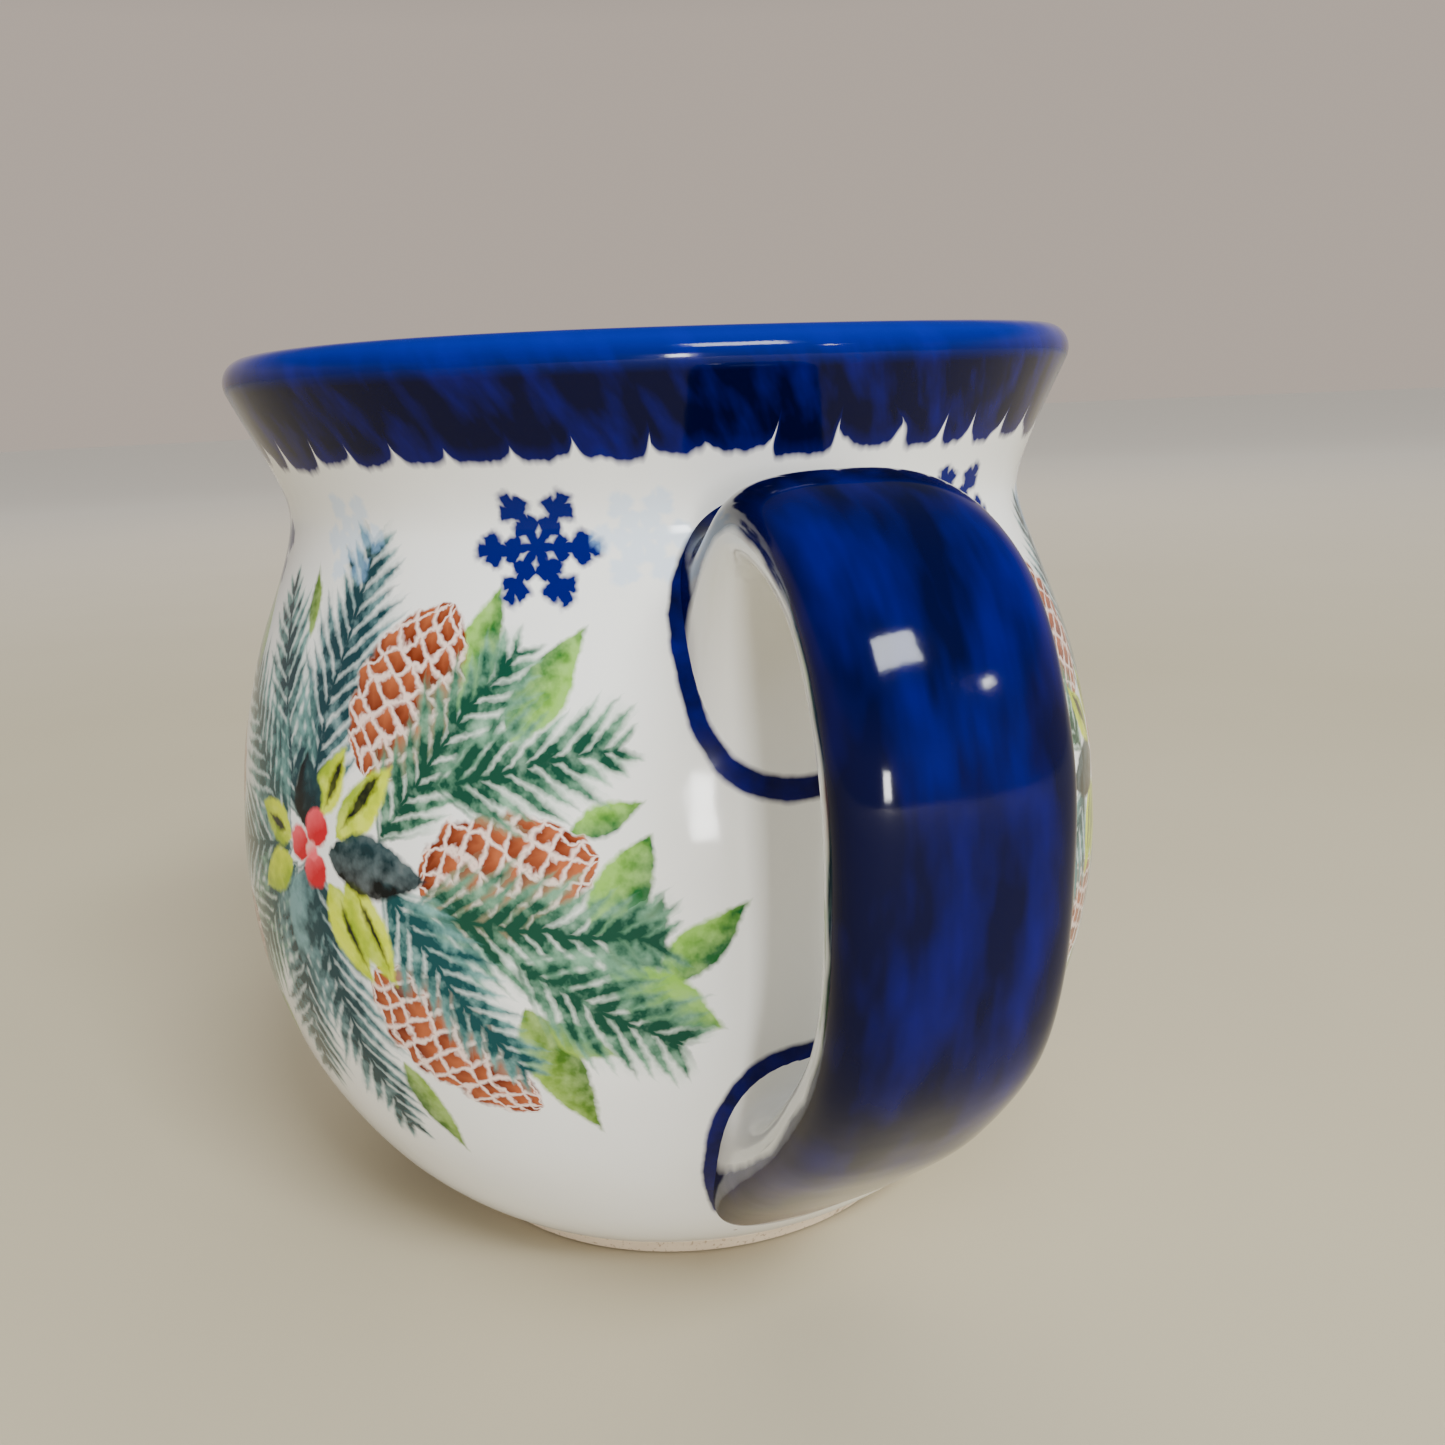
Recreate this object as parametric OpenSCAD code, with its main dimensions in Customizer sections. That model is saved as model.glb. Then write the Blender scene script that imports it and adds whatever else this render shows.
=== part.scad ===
// Potbellied stoneware mug with a wide strap handle, glazed inside and out.
// The origin is the middle of the foot's resting plane, +Z is up and the handle points to +X.
// One curve, the skin, runs from the foot up the outside, over the lip and down the inside.
// The clay and every glaze coat of the bowl are bands of that curve at different depths.

/* [Bowl] */
// Radius of the belly at its widest
belly_r = 50.6; // [48:0.2:54]
// Height of the belly's widest ring
belly_z = 42; // [38:1:46]
// Radius of the neck at its narrowest
neck_r = 41.6; // [39:0.2:44]
// Height of the neck's narrowest ring
neck_z = 82; // [78:0.5:85]
// Outer radius where the flare meets the lip
rim_r = 46.7; // [45:0.1:50]
// Height where the flare meets the lip
rim_z = 95.4; // [92:0.2:100]
// Wall thickness, glaze included
wall = 5.2; // [4:0.1:6]
// Height of the bowl's floor inside, at the middle
floor_z = 8; // [6:0.5:12]

/* [Foot] */
// Outer radius of the foot ring
foot_r = 29; // [26:0.5:32]
// Width of the foot ring's resting face
foot_w = 5; // [3:0.5:8]
// Height of bare clay above the table
foot_h = 1.8; // [1:0.1:3]
// Depth of the recess inside the foot ring
recess = 1.6; // [1:0.1:3]

/* [Handle] */
// Width of the strap
strap_w = 18.6; // [15:0.2:22]
// Thickness of the strap
strap_t = 8.2; // [6:0.2:10]
// Squareness of the strap's section, 2 is an ellipse
strap_n = 2.7; // [2:0.1:4]
// Half width of both roots where they meet the bowl
root_w = 9.6; // [9:0.1:12]
// Middle height of the upper root on the bowl
upper_z = 72.8; // [70:0.2:76]
// Half height of the upper root on the bowl
upper_h = 11.6; // [9:0.2:13]
// Middle height of the lower root on the bowl
lower_z = 20.8; // [19:0.2:24]
// Half height of the lower root on the bowl
lower_h = 12.6; // [10:0.2:14]

/* [Glaze] */
// Thickness of every glaze coat
glaze = 0.4; // [0.3:0.05:0.6]
// Height on the outside where the cobalt rim band starts
band_z = 88.4; // [85:0.2:92]
// Depth of the cobalt rim band below the lip on the inside
band_in = 5; // [3:0.5:10]
// Share of the strap's half thickness where cobalt meets clear glaze
seam = -0.1; // [-0.8:0.1:0]

/* [Hidden] */
$fn = 96;

biscuit = [0.85, 0.79, 0.70];
white = [0.90, 0.89, 0.85];
cobalt = [0.06, 0.10, 0.42];

steps = 14;          // points along each curve of the bowl's outline
lip_steps = 10;      // points over the lip
sides = 24;          // points round the strap's section
cobalt_sides = 14;   // steps over the part of the section under cobalt
clear_sides = 8;     // steps over the part of the section under clear glaze
strap_rings = 34;    // rings along the strap between its roots
root_rings = 7;      // rings along each root's fillet
root_reach = 0.62;   // length of a root's fillet, in stretches of the strap's route

// How far each curve of the outline keeps its direction at its ends
foot_pull = [12, 6.2];
belly_pull_down = 17;
belly_pull_up = 24;
neck_pull_down = 7;
neck_pull_up = 3;
lip_pull = [3.4, 7.4];
neck_lean = 0.4;     // how much wider than the neck the curve above the belly aims

foot_edge = 0.6;     // bevel of the foot ring's outer edge
floor_from = 8;      // sample of the lower curve, from the foot, above which the wall is even
floor_pull = 12;     // how far the wall keeps its direction below that
floor_flat = 18;     // radius within which the floor is level

// Middle line of the strap as [x, z], from the neck out and down to the belly's lower part
route = [[45, 77.3], [56, 83], [68.5, 79], [74.6, 68.5], [75, 56], [72, 45], [63.5, 34.5],
         [51.5, 24]];

// Point and direction on a cubic curve p
function bezier(p, t) = let (s = 1 - t)
    s*s*s*p[0] + 3*s*s*t*p[1] + 3*s*t*t*p[2] + t*t*t*p[3];
function bezier_dir(p, t) = let (s = 1 - t, d = s*s*(p[1] - p[0]) + 2*s*t*(p[2] - p[1])
    + t*t*(p[3] - p[2])) d/norm(d);

// The outside: foot to belly, belly to neck, neck to lip
foot_top = [foot_r, foot_h];
belly = [belly_r, belly_z];
neck = [neck_r, neck_z];
rim = [rim_r, rim_z];
lower_curve = [foot_top, foot_top + foot_pull, belly - [0, belly_pull_down], belly];
upper_curve = [belly, belly + [0, belly_pull_up], neck + [neck_lean, -neck_pull_down], neck];
flare_curve = [neck, neck + [0, neck_pull_up], rim - lip_pull, rim];

// Samples of a curve as [point, direction towards the clay]
function samples(p, first) = [for (i = [first:steps]) let (d = bezier_dir(p, i/steps))
    [bezier(p, i/steps), [-d.y, d.x]]];
outside = concat(samples(lower_curve, 0), samples(upper_curve, 1), samples(flare_curve, 1));

rim_dir = outside[len(outside) - 1][1];
lip_centre = rim + rim_dir*wall/2;
lip_angle = atan2(rim_dir.y, rim_dir.x);
lip = [for (i = [1:lip_steps - 1]) let (a = lip_angle - 180 + 180*i/lip_steps)
    [lip_centre + wall/2*[cos(a), sin(a)], -[cos(a), sin(a)]]];

// The inside is the outside moved in by the wall, down to where the floor's curve takes over
inside_wall = [for (i = [len(outside) - 1:-1:floor_from])
    [outside[i][0] + wall*outside[i][1], -outside[i][1]]];
floor_start = inside_wall[len(inside_wall) - 1];
floor_curve = [floor_start[0], floor_start[0] + floor_pull*[floor_start[1].y, -floor_start[1].x],
               [floor_flat, floor_z], [0, floor_z]];
inside = concat(inside_wall, samples(floor_curve, 1));

skin = concat(outside, lip, inside);
function at_depth(d, from, to) = [for (i = [from:to]) skin[i][0] + d*skin[i][1]];

// Outline of a glaze coat: out along the skin and back along the clay under it
function coat(from, to) = concat(at_depth(0, from, to),
    [for (i = [to:-1:from]) skin[i][0] + glaze*skin[i][1]]);

// Where the cobalt band starts and ends along the skin
band_from = [for (i = [0:len(outside) - 1]) if (outside[i][0].y >= band_z) i][0];
band_to = len(outside) + len(lip) + [for (i = [0:len(inside) - 1])
    if (inside[i][0].y <= rim_z - band_in) i][0];
last = len(skin) - 1;

// Radius of the bowl's surface at a height, for a depth below the glaze
function bowl_r(z, depth) = lookup(z, [for (p = outside) let (q = p[0] + depth*p[1]) [q.y, q.x]]);

// The strap's route as a smooth curve through its points, with u counted in stretches
stretches = len(route) - 1;
function knot(i) = i < 0 ? 2*route[0] - route[1]
    : i > stretches ? 2*route[stretches] - route[stretches - 1] : route[i];
function route_at(u) = let (i = min(floor(u), stretches - 1), t = u - i,
    a = knot(i - 1), b = knot(i), c = knot(i + 1), d = knot(i + 2))
    b + t*(c - a)/2 + t*t*(2*a - 5*b + 4*c - d)/2 + t*t*t*(3*b - a - 3*c + d)/2;
function route_dir(u) = let (h = 0.01, d = route_at(min(u + h, stretches))
    - route_at(max(u - h, 0))) d/norm(d);

// The strap's section: across is its width and out points away from the finger loop
function power(v, n) = sign(v)*pow(abs(v), 2/n);
function section_ring(u, angles, depth) = let (c = route_at(u), d = route_dir(u))
    [for (a = angles) let (across = (strap_w/2 - depth)*power(cos(a), strap_n),
        out = (strap_t/2 - depth)*power(sin(a), strap_n))
        [c.x - d.y*out, across, c.y + d.x*out]];

// The root's outline on the bowl; flip is -1 where out points down
function bowl_ring(angles, depth, mid, half, flip) = [for (a = angles) let (
    y = (root_w - depth)*power(cos(a), strap_n), z = mid + flip*(half - depth)*power(sin(a), strap_n),
    r = bowl_r(z, depth)) [sqrt(r*r - y*y), y, z]];

// A ring k of a root: 0 lies on the bowl and root_rings is the strap's own section
function fillet_ring(k, angles, depth, is_upper) = let (turn = 90*k/root_rings, e = 1 - sin(turn),
    reach = root_reach*(1 - cos(turn)), u = is_upper ? reach : stretches - reach)
    (1 - e)*section_ring(u, angles, depth) + e*(is_upper
        ? bowl_ring(angles, depth, upper_z, upper_h, 1)
        : bowl_ring(angles, depth, lower_z, lower_h, -1));

function upper_rings(angles, depth) = [for (k = [0:root_rings]) fillet_ring(k, angles, depth, true)];
function lower_rings(angles, depth) = [for (k = [root_rings:-1:0]) fillet_ring(k, angles, depth, false)];
function strap_rings_of(angles, depth) = [for (k = [0:strap_rings])
    section_ring(root_reach + (stretches - 2*root_reach)*k/strap_rings, angles, depth)];
function inner_part(list) = [for (i = [1:len(list) - 2]) list[i]];
function whole_rings(angles, depth) = concat(upper_rings(angles, depth),
    inner_part(strap_rings_of(angles, depth)), lower_rings(angles, depth));

full_turn = [for (i = [0:sides - 1]) 360*i/sides];
seam_angle = asin(pow(-seam, strap_n/2));
cobalt_turn = [for (i = [0:cobalt_sides]) -seam_angle + (180 + 2*seam_angle)*i/cobalt_sides];
clear_turn = [for (i = [0:clear_sides]) 180 + seam_angle + (180 - 2*seam_angle)*i/clear_sides];

// A solid through closed rings that all have the same number of points
module loft(rings) {
    n = len(rings[0]);
    m = len(rings);
    walls = [for (i = [0:m - 2], j = [0:n - 1], h = [0, 1]) h == 0
        ? [i*n + j, i*n + (j + 1)%n, (i + 1)*n + j]
        : [i*n + (j + 1)%n, (i + 1)*n + (j + 1)%n, (i + 1)*n + j]];
    first_end = [for (j = [0:n/2 - 2], h = [0, 1]) h == 0
        ? [j, n - 1 - j, j + 1] : [j + 1, n - 1 - j, n - 2 - j]];
    last_end = [for (f = first_end) [for (j = [2:-1:0]) f[j] + (m - 1)*n]];
    polyhedron(concat_all(rings), concat(walls, first_end, last_end), convexity = 6);
}
function concat_all(lists) = [for (l = lists) each l];

// Glaze over part of the handle's section: out along the glazed face and back along the clay
function coat_rings(angles) = let (top = whole_rings(angles, 0), clay = whole_rings(angles, glaze))
    [for (i = [0:len(top) - 1]) concat(top[i], [for (j = [len(angles) - 1:-1:0]) clay[i][j]])];

// Column with a root's outline, for the window it leaves in the bowl's glaze
module root_column(mid, half, flip) {
    outline = bowl_ring(full_turn, 0, mid, half, flip);
    translate([belly_r/2, 0, 0]) rotate([90, 0, 90]) linear_extrude(belly_r)
        polygon([for (p = outline) [p.y, p.z]]);
}

module stoneware_body() color(biscuit) rotate_extrude()
    polygon(concat([[0, recess + glaze], [foot_r - foot_w, recess + glaze], [foot_r - foot_w, 0],
        [foot_r - foot_edge, 0], [foot_r, foot_edge]], at_depth(glaze, 0, last - 1),
        [[0, floor_z - glaze]]));

module inner_clear_glaze() color(white) rotate_extrude() polygon(coat(band_to, last));

module outer_clear_glaze() color(white) difference() {
    rotate_extrude() polygon(coat(0, band_from));
    root_column(upper_z, upper_h, 1);
    root_column(lower_z, lower_h, -1);
}

module rim_cobalt_glaze() color(cobalt) rotate_extrude() polygon(coat(band_from, band_to));

module base_clear_glaze() color(white)
    translate([0, 0, recess]) cylinder(r = foot_r - foot_w, h = glaze);

module handle_strap() color(biscuit) loft(strap_rings_of(full_turn, glaze));

module upper_handle_joint() color(biscuit) loft(upper_rings(full_turn, glaze));

module lower_handle_joint() color(biscuit) loft(lower_rings(full_turn, glaze));

module handle_cobalt_glaze() color(cobalt) loft(coat_rings(cobalt_turn));

module handle_clear_glaze() color(white) loft(coat_rings(clear_turn));

stoneware_body();
inner_clear_glaze();
outer_clear_glaze();
rim_cobalt_glaze();
base_clear_glaze();
handle_strap();
upper_handle_joint();
lower_handle_joint();
handle_cobalt_glaze();
handle_clear_glaze();
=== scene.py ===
"""Looks of the potbellied stoneware mug: smooth meshes of its clay and glaze, and the painting on them.

The mug's numbers repeat the part's own source, in millimetres. Every bowl piece is a band of one curve, the
skin, which runs from the foot up the outside, over the lip and down the inside. The painting is made of node
groups, one for each kind of brush stroke, placed on the bowl in millimetres.
"""

import math

import bpy
import numpy as np
from mathutils import Matrix, Vector


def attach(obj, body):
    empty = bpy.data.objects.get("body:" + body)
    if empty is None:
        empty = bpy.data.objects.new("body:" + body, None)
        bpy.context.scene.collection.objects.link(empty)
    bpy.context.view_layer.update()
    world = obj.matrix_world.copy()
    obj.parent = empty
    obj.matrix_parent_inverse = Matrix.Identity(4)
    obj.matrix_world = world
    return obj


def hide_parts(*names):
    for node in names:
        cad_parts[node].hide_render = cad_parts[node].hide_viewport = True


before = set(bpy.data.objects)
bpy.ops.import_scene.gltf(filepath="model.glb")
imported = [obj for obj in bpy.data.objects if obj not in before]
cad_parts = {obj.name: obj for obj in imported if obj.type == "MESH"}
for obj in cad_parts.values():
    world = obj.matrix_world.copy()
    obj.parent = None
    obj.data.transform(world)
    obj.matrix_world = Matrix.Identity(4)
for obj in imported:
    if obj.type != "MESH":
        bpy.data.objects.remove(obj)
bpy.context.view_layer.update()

MM = 0.001

# ---------------------------------------------------------------- the mug's numbers, as in the CAD source

BELLY_R, BELLY_Z = 50.6, 42.0
NECK_R, NECK_Z = 41.6, 82.0
RIM_R, RIM_Z = 46.7, 95.4
WALL = 5.2
FLOOR_Z = 8.0
FOOT_R, FOOT_W, FOOT_H, RECESS = 29.0, 5.0, 1.8, 1.6
GLAZE = 0.4
BAND_Z, BAND_IN = 88.4, 5.0

STRAP_W, STRAP_T, STRAP_N = 18.6, 8.2, 2.7
ROOT_W = 9.6
UPPER_Z, UPPER_H = 72.8, 11.6
LOWER_Z, LOWER_H = 20.8, 12.6
ROOT_REACH = 0.62
SEAM = -0.1
ROUTE = np.array([(45, 77.3), (56, 83), (68.5, 79), (74.6, 68.5),
                  (75, 56), (72, 45), (63.5, 34.5), (51.5, 24)])

# How far the control points of the bowl's curves lie from the points that the curves pass through
FOOT_PULL, LIP_PULL = (12, 6.2), (3.4, 7.4)
BELLY_PULL_DOWN, BELLY_PULL_UP = 17, 24
NECK_PULL_DOWN, NECK_PULL_UP, NECK_LEAN = 7, 3, 0.4
FLOOR_FROM, FLOOR_PULL, FLOOR_FLAT = 8/14, 12, 18

AROUND = 256          # vertices round the bowl
ALONG = 56            # samples along each curve of the bowl's outline
LIP_STEPS = 24        # and round the lip
SECTION = 56          # vertices round the strap
STRAP_RINGS = 120     # rings along the strap
FILLET_RINGS = 22     # rings along each root's fillet
COBALT_SIDES = 48     # points across the handle's cobalt coat
CLEAR_SIDES = 24      # and across its clear coat
SOFT_EDGE = 50        # the largest angle between faces, in degrees, that is still shaded smooth


# ---------------------------------------------------------------- the bowl's skin

def bezier(p, t):
    """Points and unit directions on the cubic curve p."""
    p, t = np.array(p, float), t[:, None]
    s = 1 - t
    point = s**3*p[0] + 3*s*s*t*p[1] + 3*s*t*t*p[2] + t**3*p[3]
    way = s*s*(p[1] - p[0]) + 2*s*t*(p[2] - p[1]) + t*t*(p[3] - p[2])
    return point, way/np.linalg.norm(way, axis=1, keepdims=True)


def skin_curve():
    """The skin as rows of (radius, height), the direction into the clay, and the length run so far."""
    foot, belly, neck, rim = (FOOT_R, FOOT_H), (BELLY_R, BELLY_Z), (NECK_R, NECK_Z), (RIM_R, RIM_Z)
    outside = [
        [foot, (FOOT_R + FOOT_PULL[0], FOOT_H + FOOT_PULL[1]), (BELLY_R, BELLY_Z - BELLY_PULL_DOWN), belly],
        [belly, (BELLY_R, BELLY_Z + BELLY_PULL_UP), (NECK_R + NECK_LEAN, NECK_Z - NECK_PULL_DOWN), neck],
        [neck, (NECK_R, NECK_Z + NECK_PULL_UP), (RIM_R - LIP_PULL[0], RIM_Z - LIP_PULL[1]), rim]]
    points, inward = [], []
    for curve in outside:
        p, way = bezier(curve, np.linspace(0, 1, ALONG, endpoint=False))
        points.append(p)
        inward.append(np.column_stack([-way[:, 1], way[:, 0]]))
    # The lip is a half circle over the wall's thickness
    p, way = bezier(outside[-1], np.array([1.0]))
    into = np.array([-way[0, 1], way[0, 0]])
    centre = p[0] + into*WALL/2
    start = math.atan2(-into[1], -into[0])
    turn = start + np.linspace(0, math.pi, LIP_STEPS, endpoint=False)
    spoke = np.column_stack([np.cos(turn), np.sin(turn)])
    outer_points, outer_inward = np.vstack(points), np.vstack(inward)
    points.append(centre + WALL/2*spoke)
    inward.append(-spoke)
    # The inside follows the outside, a wall's thickness away, down to where the floor's curve starts
    floor_index = round(FLOOR_FROM*ALONG)
    down_points = (outer_points + WALL*outer_inward)[floor_index:][::-1]
    down_inward = -outer_inward[floor_index:][::-1]
    points.append(down_points[:-1])
    inward.append(down_inward[:-1])
    first, into = down_points[-1], down_inward[-1]
    floor = [first, first + FLOOR_PULL*np.array([into[1], -into[0]]), (FLOOR_FLAT, FLOOR_Z), (0, FLOOR_Z)]
    p, way = bezier(floor, np.linspace(0, 1, ALONG))
    points.append(p)
    inward.append(np.column_stack([-way[:, 1], way[:, 0]]))
    points, inward = np.vstack(points), np.vstack(inward)
    run = np.concatenate([[0], np.cumsum(np.linalg.norm(np.diff(points, axis=0), axis=1))])
    return points, inward, run


SKIN, INTO, RUN = skin_curve()
LIP_START = 3*ALONG
LIP_RUN = RUN[LIP_START + LIP_STEPS//2]
BAND_FROM = int(np.argmax(SKIN[:LIP_START, 1] >= BAND_Z))
LIP_END = LIP_START + LIP_STEPS
BAND_TO = LIP_END + int(np.argmax(SKIN[LIP_END:, 1] <= RIM_Z - BAND_IN))


def hand_made(p):
    """The small unevenness of a thrown and turned pot, always inwards: p in millimetres."""
    angle, z = np.arctan2(p[:, 1], p[:, 0]), p[:, 2]
    dent = 0.09*(1 + np.sin(2*angle + 0.7 + z/60)) + 0.03*(1 + np.sin(z*0.55 + angle))
    radius = np.maximum(np.hypot(p[:, 0], p[:, 1]), 1e-6)
    out = p.copy()
    out[:, :2] *= (1 - dent*np.clip(radius/30, 0, 1)/radius)[:, None]
    lip = np.clip((z - 84)/14, 0, 1)
    out[:, 2] -= 0.14*lip*(1.3 + np.sin(3*angle + 1.1))
    return out


def add_piece(name, points, faces, node, materials, values, worn=None):
    """A mesh piece that stands for a CAD node and rides on the mug.

    values are per-vertex numbers for its materials, and worn is the index of each face's material."""
    mesh = bpy.data.meshes.new(name)
    mesh.from_pydata((hand_made(points)*MM).tolist(), [], faces)
    for key, numbers in values.items():
        mesh.attributes.new(key, "FLOAT", "POINT").data.foreach_set("value", np.asarray(numbers, np.float32))
    mesh.shade_smooth()
    mesh.set_sharp_from_angle(angle=math.radians(SOFT_EDGE))
    for material in materials:
        mesh.materials.append(material)
    if worn is not None:
        mesh.polygons.foreach_set("material_index", worn)
    piece = bpy.data.objects.new(name, mesh)
    bpy.context.scene.collection.objects.link(piece)
    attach(piece, "root")
    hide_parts(node)
    return piece


def turned(profile):
    """Points and faces of a closed outline of (radius, height) turned about Z, and each point's place in it.

    A radius of 0 becomes one vertex."""
    angles = np.linspace(-math.pi, math.pi, AROUND, endpoint=False)
    points, rings, source = [], [], []
    for k, (r, z) in enumerate(profile):
        count = 1 if r < 1e-6 else AROUND
        rings.append([len(points) + i % count for i in range(AROUND)])
        points += [(r*math.cos(a), r*math.sin(a), z) for a in angles[:count]]
        source += [k]*count
    faces = []
    for k, ring in enumerate(rings):
        up = rings[(k + 1) % len(rings)]
        for i in range(AROUND):
            j = (i + 1) % AROUND
            face = list(dict.fromkeys([ring[i], ring[j], up[j], up[i]]))
            if len(face) > 2:
                faces.append(face)
    return np.array(points), faces, np.array(source)


def add_band(name, first, last, node, materials, pick=None):
    """A coat of glaze on the skin from one sample to another; pick chooses each face's material."""
    picked = np.arange(first, last + 1)
    outline = np.vstack([SKIN[picked], (SKIN[picked] + GLAZE*INTO[picked])[::-1]])
    run = np.concatenate([RUN[picked], RUN[picked][::-1]])
    points, faces, source = turned(outline)
    worn = pick(points, faces, run[source]) if pick else None
    return add_piece(name, points, faces, node, materials, {"run": run[source]}, worn)


# ---------------------------------------------------------------- the handle's sweep

STRETCHES = len(ROUTE) - 1
KNOTS = np.vstack([2*ROUTE[0] - ROUTE[1], ROUTE, 2*ROUTE[-1] - ROUTE[-2]])


def route_at(u):
    """The point at u on the Catmull-Rom curve through the route, which is the strap's middle line."""
    i = min(int(u), STRETCHES - 1)
    t = u - i
    a, b, c, d = KNOTS[i:i + 4]
    return b + t*(c - a)/2 + t*t*(2*a - 5*b + 4*c - d)/2 + t**3*(3*b - a - 3*c + d)/2


def power(v, n):
    """A sine or cosine turned into the one of a superellipse."""
    return np.sign(v)*np.abs(v)**(2/n)


def section_ring(u, angles, depth):
    """The strap's own section at u, as points round its middle line."""
    centre = route_at(u)
    way = route_at(min(u + 0.01, STRETCHES)) - route_at(max(u - 0.01, 0))
    way /= np.linalg.norm(way)
    across = (STRAP_W/2 - depth)*power(np.cos(angles), STRAP_N)
    out = (STRAP_T/2 - depth)*power(np.sin(angles), STRAP_N)
    return np.column_stack([centre[0] - way[1]*out, across, centre[1] + way[0]*out])


def bowl_ring(angles, depth, middle, half, flip):
    """A root's outline on the bowl."""
    y = (ROOT_W - depth)*power(np.cos(angles), STRAP_N)
    z = middle + flip*(half - depth)*power(np.sin(angles), STRAP_N)
    outside = SKIN[:LIP_START] + depth*INTO[:LIP_START]
    r = np.interp(z, outside[:, 1], outside[:, 0])
    return np.column_stack([np.sqrt(r*r - y*y), y, z])


def fillet_rings(angles, depth, upper):
    """Rings from the bowl to the strap's own section, as a quarter round."""
    rings = []
    for turn in np.linspace(0, math.pi/2, FILLET_RINGS):
        share, reach = 1 - math.sin(turn), ROOT_REACH*(1 - math.cos(turn))
        if upper:
            strap, bowl = section_ring(reach, angles, depth), bowl_ring(angles, depth, UPPER_Z, UPPER_H, 1)
        else:
            strap = section_ring(STRETCHES - reach, angles, depth)
            bowl = bowl_ring(angles, depth, LOWER_Z, LOWER_H, -1)
        rings.append((1 - share)*strap + share*bowl)
    return rings if upper else rings[::-1]


def strap_rings(angles, depth):
    return [section_ring(u, angles, depth)
            for u in np.linspace(ROOT_REACH, STRETCHES - ROOT_REACH, STRAP_RINGS)]


def all_rings(angles, depth):
    strap = strap_rings(angles, depth)[1:-1]
    return fillet_rings(angles, depth, True) + strap + fillet_rings(angles, depth, False)


def lofted(rings):
    """Points and faces of a closed solid through rings of equally many points."""
    n, m = len(rings[0]), len(rings)
    faces = [[i*n + j, i*n + (j + 1) % n, (i + 1)*n + (j + 1) % n, (i + 1)*n + j]
             for i in range(m - 1) for j in range(n)]
    # Each end is closed by quads that join points opposite each other on the ring
    ladder = [[j, n - 1 - j, n - 2 - j, j + 1] for j in range(n//2 - 1)]
    faces += ladder + [[(m - 1)*n + k for k in reversed(face)] for face in ladder]
    return np.vstack(rings), faces


def handle_values(rings, height):
    """Length along the handle, place across it and share of its thickness, for the brush strokes' nodes."""
    middles = np.array([ring.mean(axis=0) for ring in rings])
    length = np.concatenate([[0], np.cumsum(np.linalg.norm(np.diff(middles, axis=0), axis=1))])
    n = len(rings[0])
    across = np.vstack(rings)[:, 1]
    return {"along": np.repeat(length, n), "across": across, "height": np.tile(height, len(rings))}


def add_coat(name, angles, node, material):
    """Glaze over part of the handle's section, from the bowl to the bowl."""
    tops, bottoms = all_rings(angles, 0), all_rings(angles, GLAZE)
    rings = [np.vstack([top, bottom[::-1]]) for top, bottom in zip(tops, bottoms)]
    height = power(np.sin(angles), STRAP_N)
    values = handle_values(rings, np.concatenate([height, height[::-1]]))
    points, faces = lofted(rings)
    return add_piece(name, points, faces, node, [material], values)


def add_clay(name, rings, node, material):
    points, faces = lofted(rings)
    return add_piece(name, points, faces, node, [material], {})


# ---------------------------------------------------------------- node graphs

def srgb(red, green, blue):
    """A colour given as on a screen, 0 to 255, as the linear colour that nodes take."""
    def linear(v):
        v /= 255
        return v/12.92 if v <= 0.04045 else ((v + 0.055)/1.055)**2.4
    return (linear(red), linear(green), linear(blue), 1.0)


class Wire:
    """A value in a node graph. Arithmetic on it adds Math nodes."""

    def __init__(self, graph, socket):
        self.graph, self.socket = graph, socket

    def __add__(self, other):
        return self.graph.math("ADD", self, other)

    def __radd__(self, other):
        return self.graph.math("ADD", other, self)

    def __sub__(self, other):
        return self.graph.math("SUBTRACT", self, other)

    def __rsub__(self, other):
        return self.graph.math("SUBTRACT", other, self)

    def __mul__(self, other):
        return self.graph.math("MULTIPLY", self, other)

    def __rmul__(self, other):
        return self.graph.math("MULTIPLY", other, self)

    def __truediv__(self, other):
        return self.graph.math("DIVIDE", self, other)

    def __pow__(self, other):
        return self.graph.math("POWER", self, other)

    def __abs__(self):
        return self.graph.math("ABSOLUTE", self)

    def clamp(self):
        """Kept to 0 to 1. A Math node's own clamp compiles out of order and overflows the shader stack."""
        node = self.graph.add("ShaderNodeClamp")
        self.graph.feed(node.inputs["Value"], self)
        return Wire(self.graph, node.outputs[0])

    def floor(self):
        return self.graph.math("FLOOR", self)

    def sin(self):
        return self.graph.math("SINE", self)

    def above(self, edge, soft):
        """0 below the edge and 1 above it, over the soft width."""
        return self.graph.math("MULTIPLY_ADD", self - edge, 1/soft, 0.5).clamp()

    def below(self, edge, soft):
        return self.graph.math("MULTIPLY_ADD", self - edge, -1/soft, 0.5).clamp()


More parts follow.
